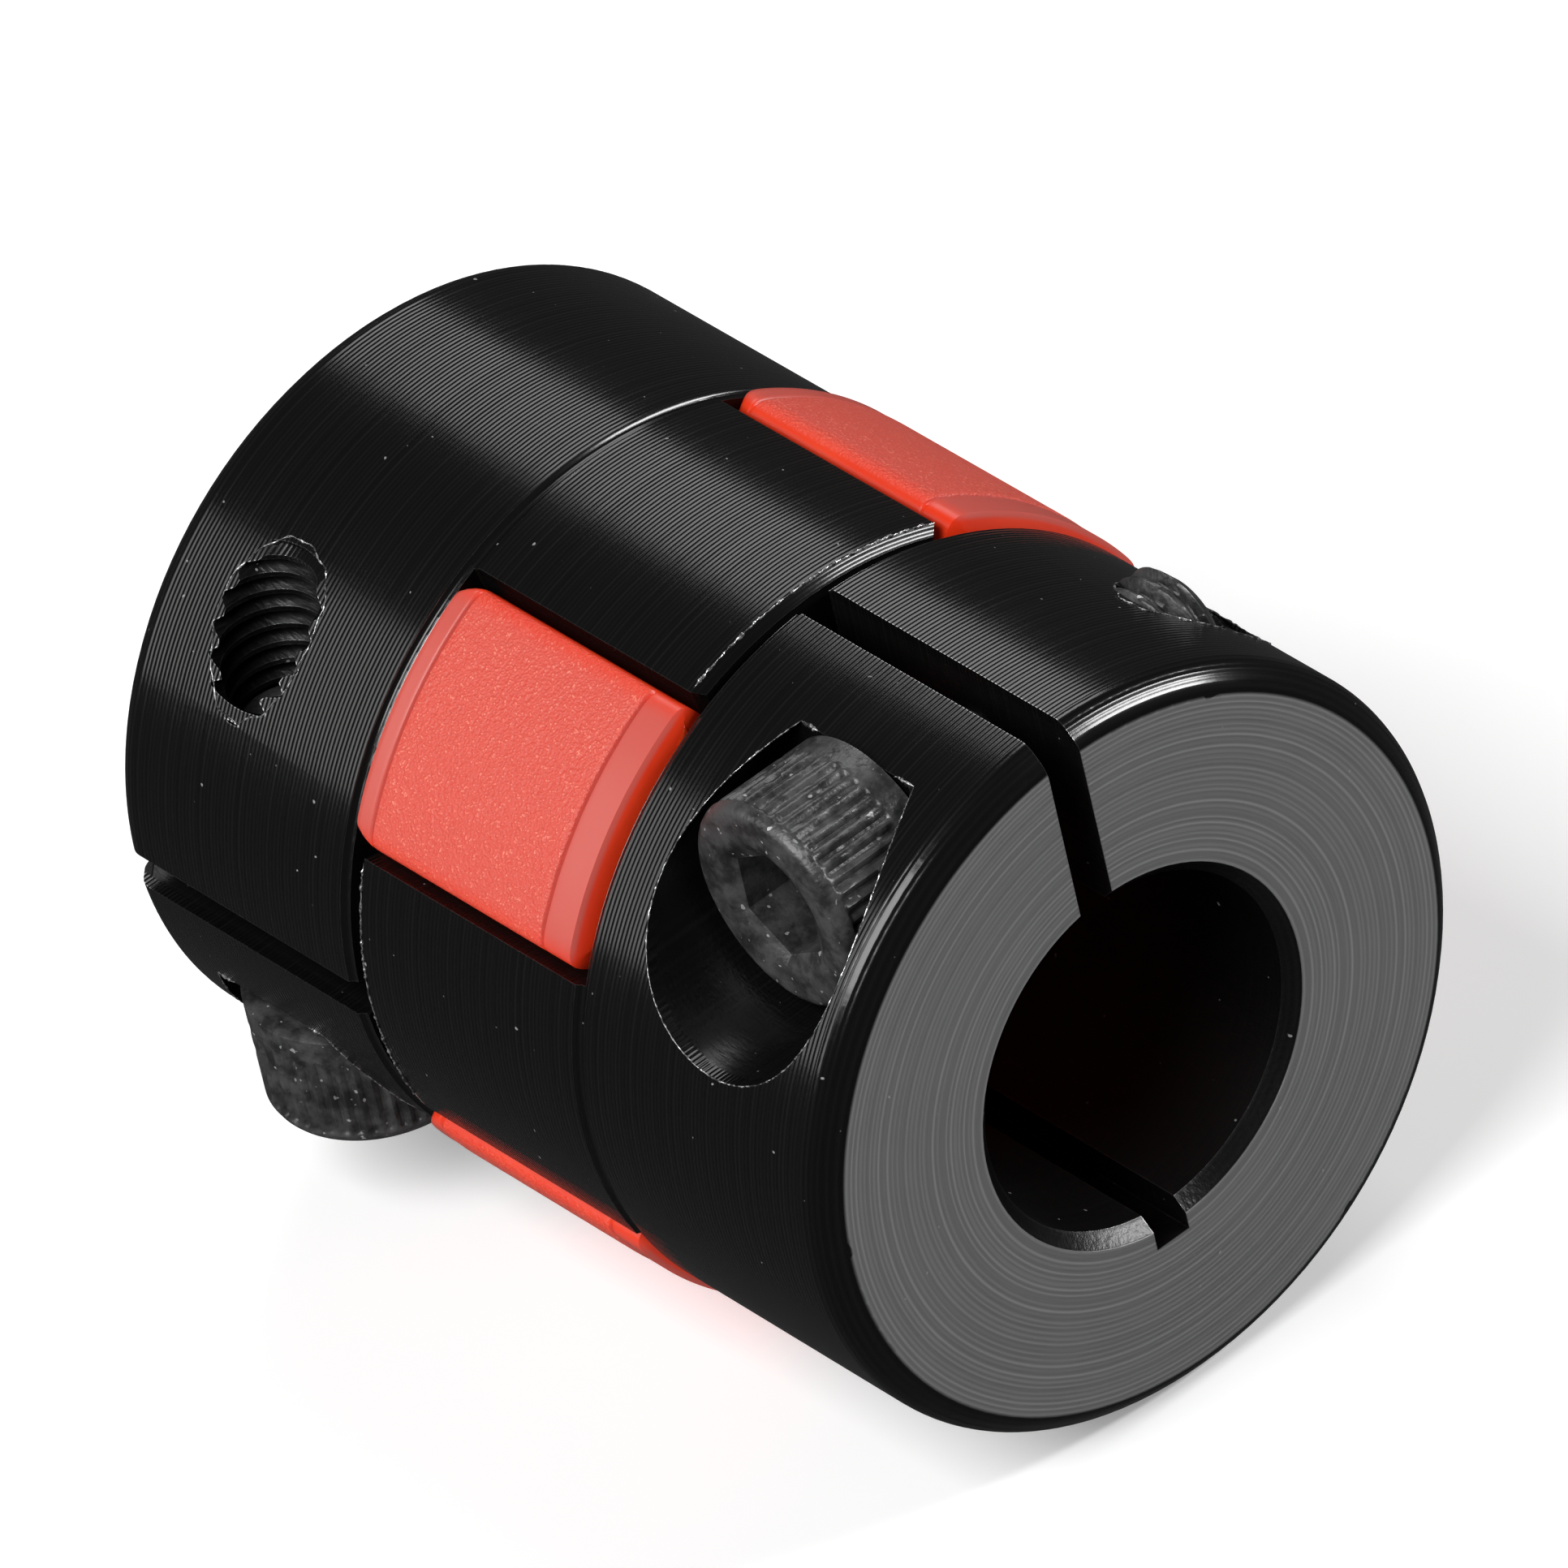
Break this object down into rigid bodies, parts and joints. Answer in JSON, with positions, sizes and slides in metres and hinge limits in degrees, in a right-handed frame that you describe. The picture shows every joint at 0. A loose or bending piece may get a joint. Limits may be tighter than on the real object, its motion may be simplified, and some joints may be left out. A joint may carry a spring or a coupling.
{
  "type": "jaw coupling",
  "caption": "Elastic jaw shaft coupling: clamping hubs with slit and socket screw, jaws interleaved around a lobed elastomer spider.",
  "frame": {"origin": "on the shaft axis, midway between the two end faces", "axes": "+X along the shaft axis out of the front hub; +Z out along the front hub's clamping slit; -Y out along the rear hub's slit"},
  "size_m": [0.04, 0.03, 0.03],
  "materials": {
    "black_anodised": "black anodised aluminium with fine turned lines",
    "black_oxide_steel": "black-oxide steel, knurled head",
    "red_elastomer": "moulded red polyurethane, sandy texture on the lobes"
  },
  "bodies": {
    "front_hub": {"front_hub": "black_anodised"},
    "spider": {"spider": "red_elastomer"},
    "rear_hub": {"rear_hub": "black_anodised"},
    "front_screw": {"front_clamp_screw": "black_oxide_steel"},
    "rear_screw": {"rear_clamp_screw": "black_oxide_steel"}
  },
  "joints": [
    {"name": "spider_pull_off", "type": "slide", "parent": "front_hub", "child": "spider", "axis": [-1, 0, 0], "range_m": [0, 0.014]},
    {"name": "wind_up", "type": "hinge", "parent": "spider", "child": "rear_hub", "pos_m": [0, 0, 0], "axis": [1, 0, 0], "range_deg": [-1.5, 1.5], "stiffness_Nm_per_rad": 6},
    {"name": "front_screw_travel", "type": "slide", "parent": "front_hub", "child": "front_screw", "axis": [0, -1, 0], "range_m": [0, 0.0096]},
    {"name": "rear_screw_travel", "type": "slide", "parent": "rear_hub", "child": "rear_screw", "axis": [0, 0, -1], "range_m": [-0.0008, 0.0056]}
  ]
}
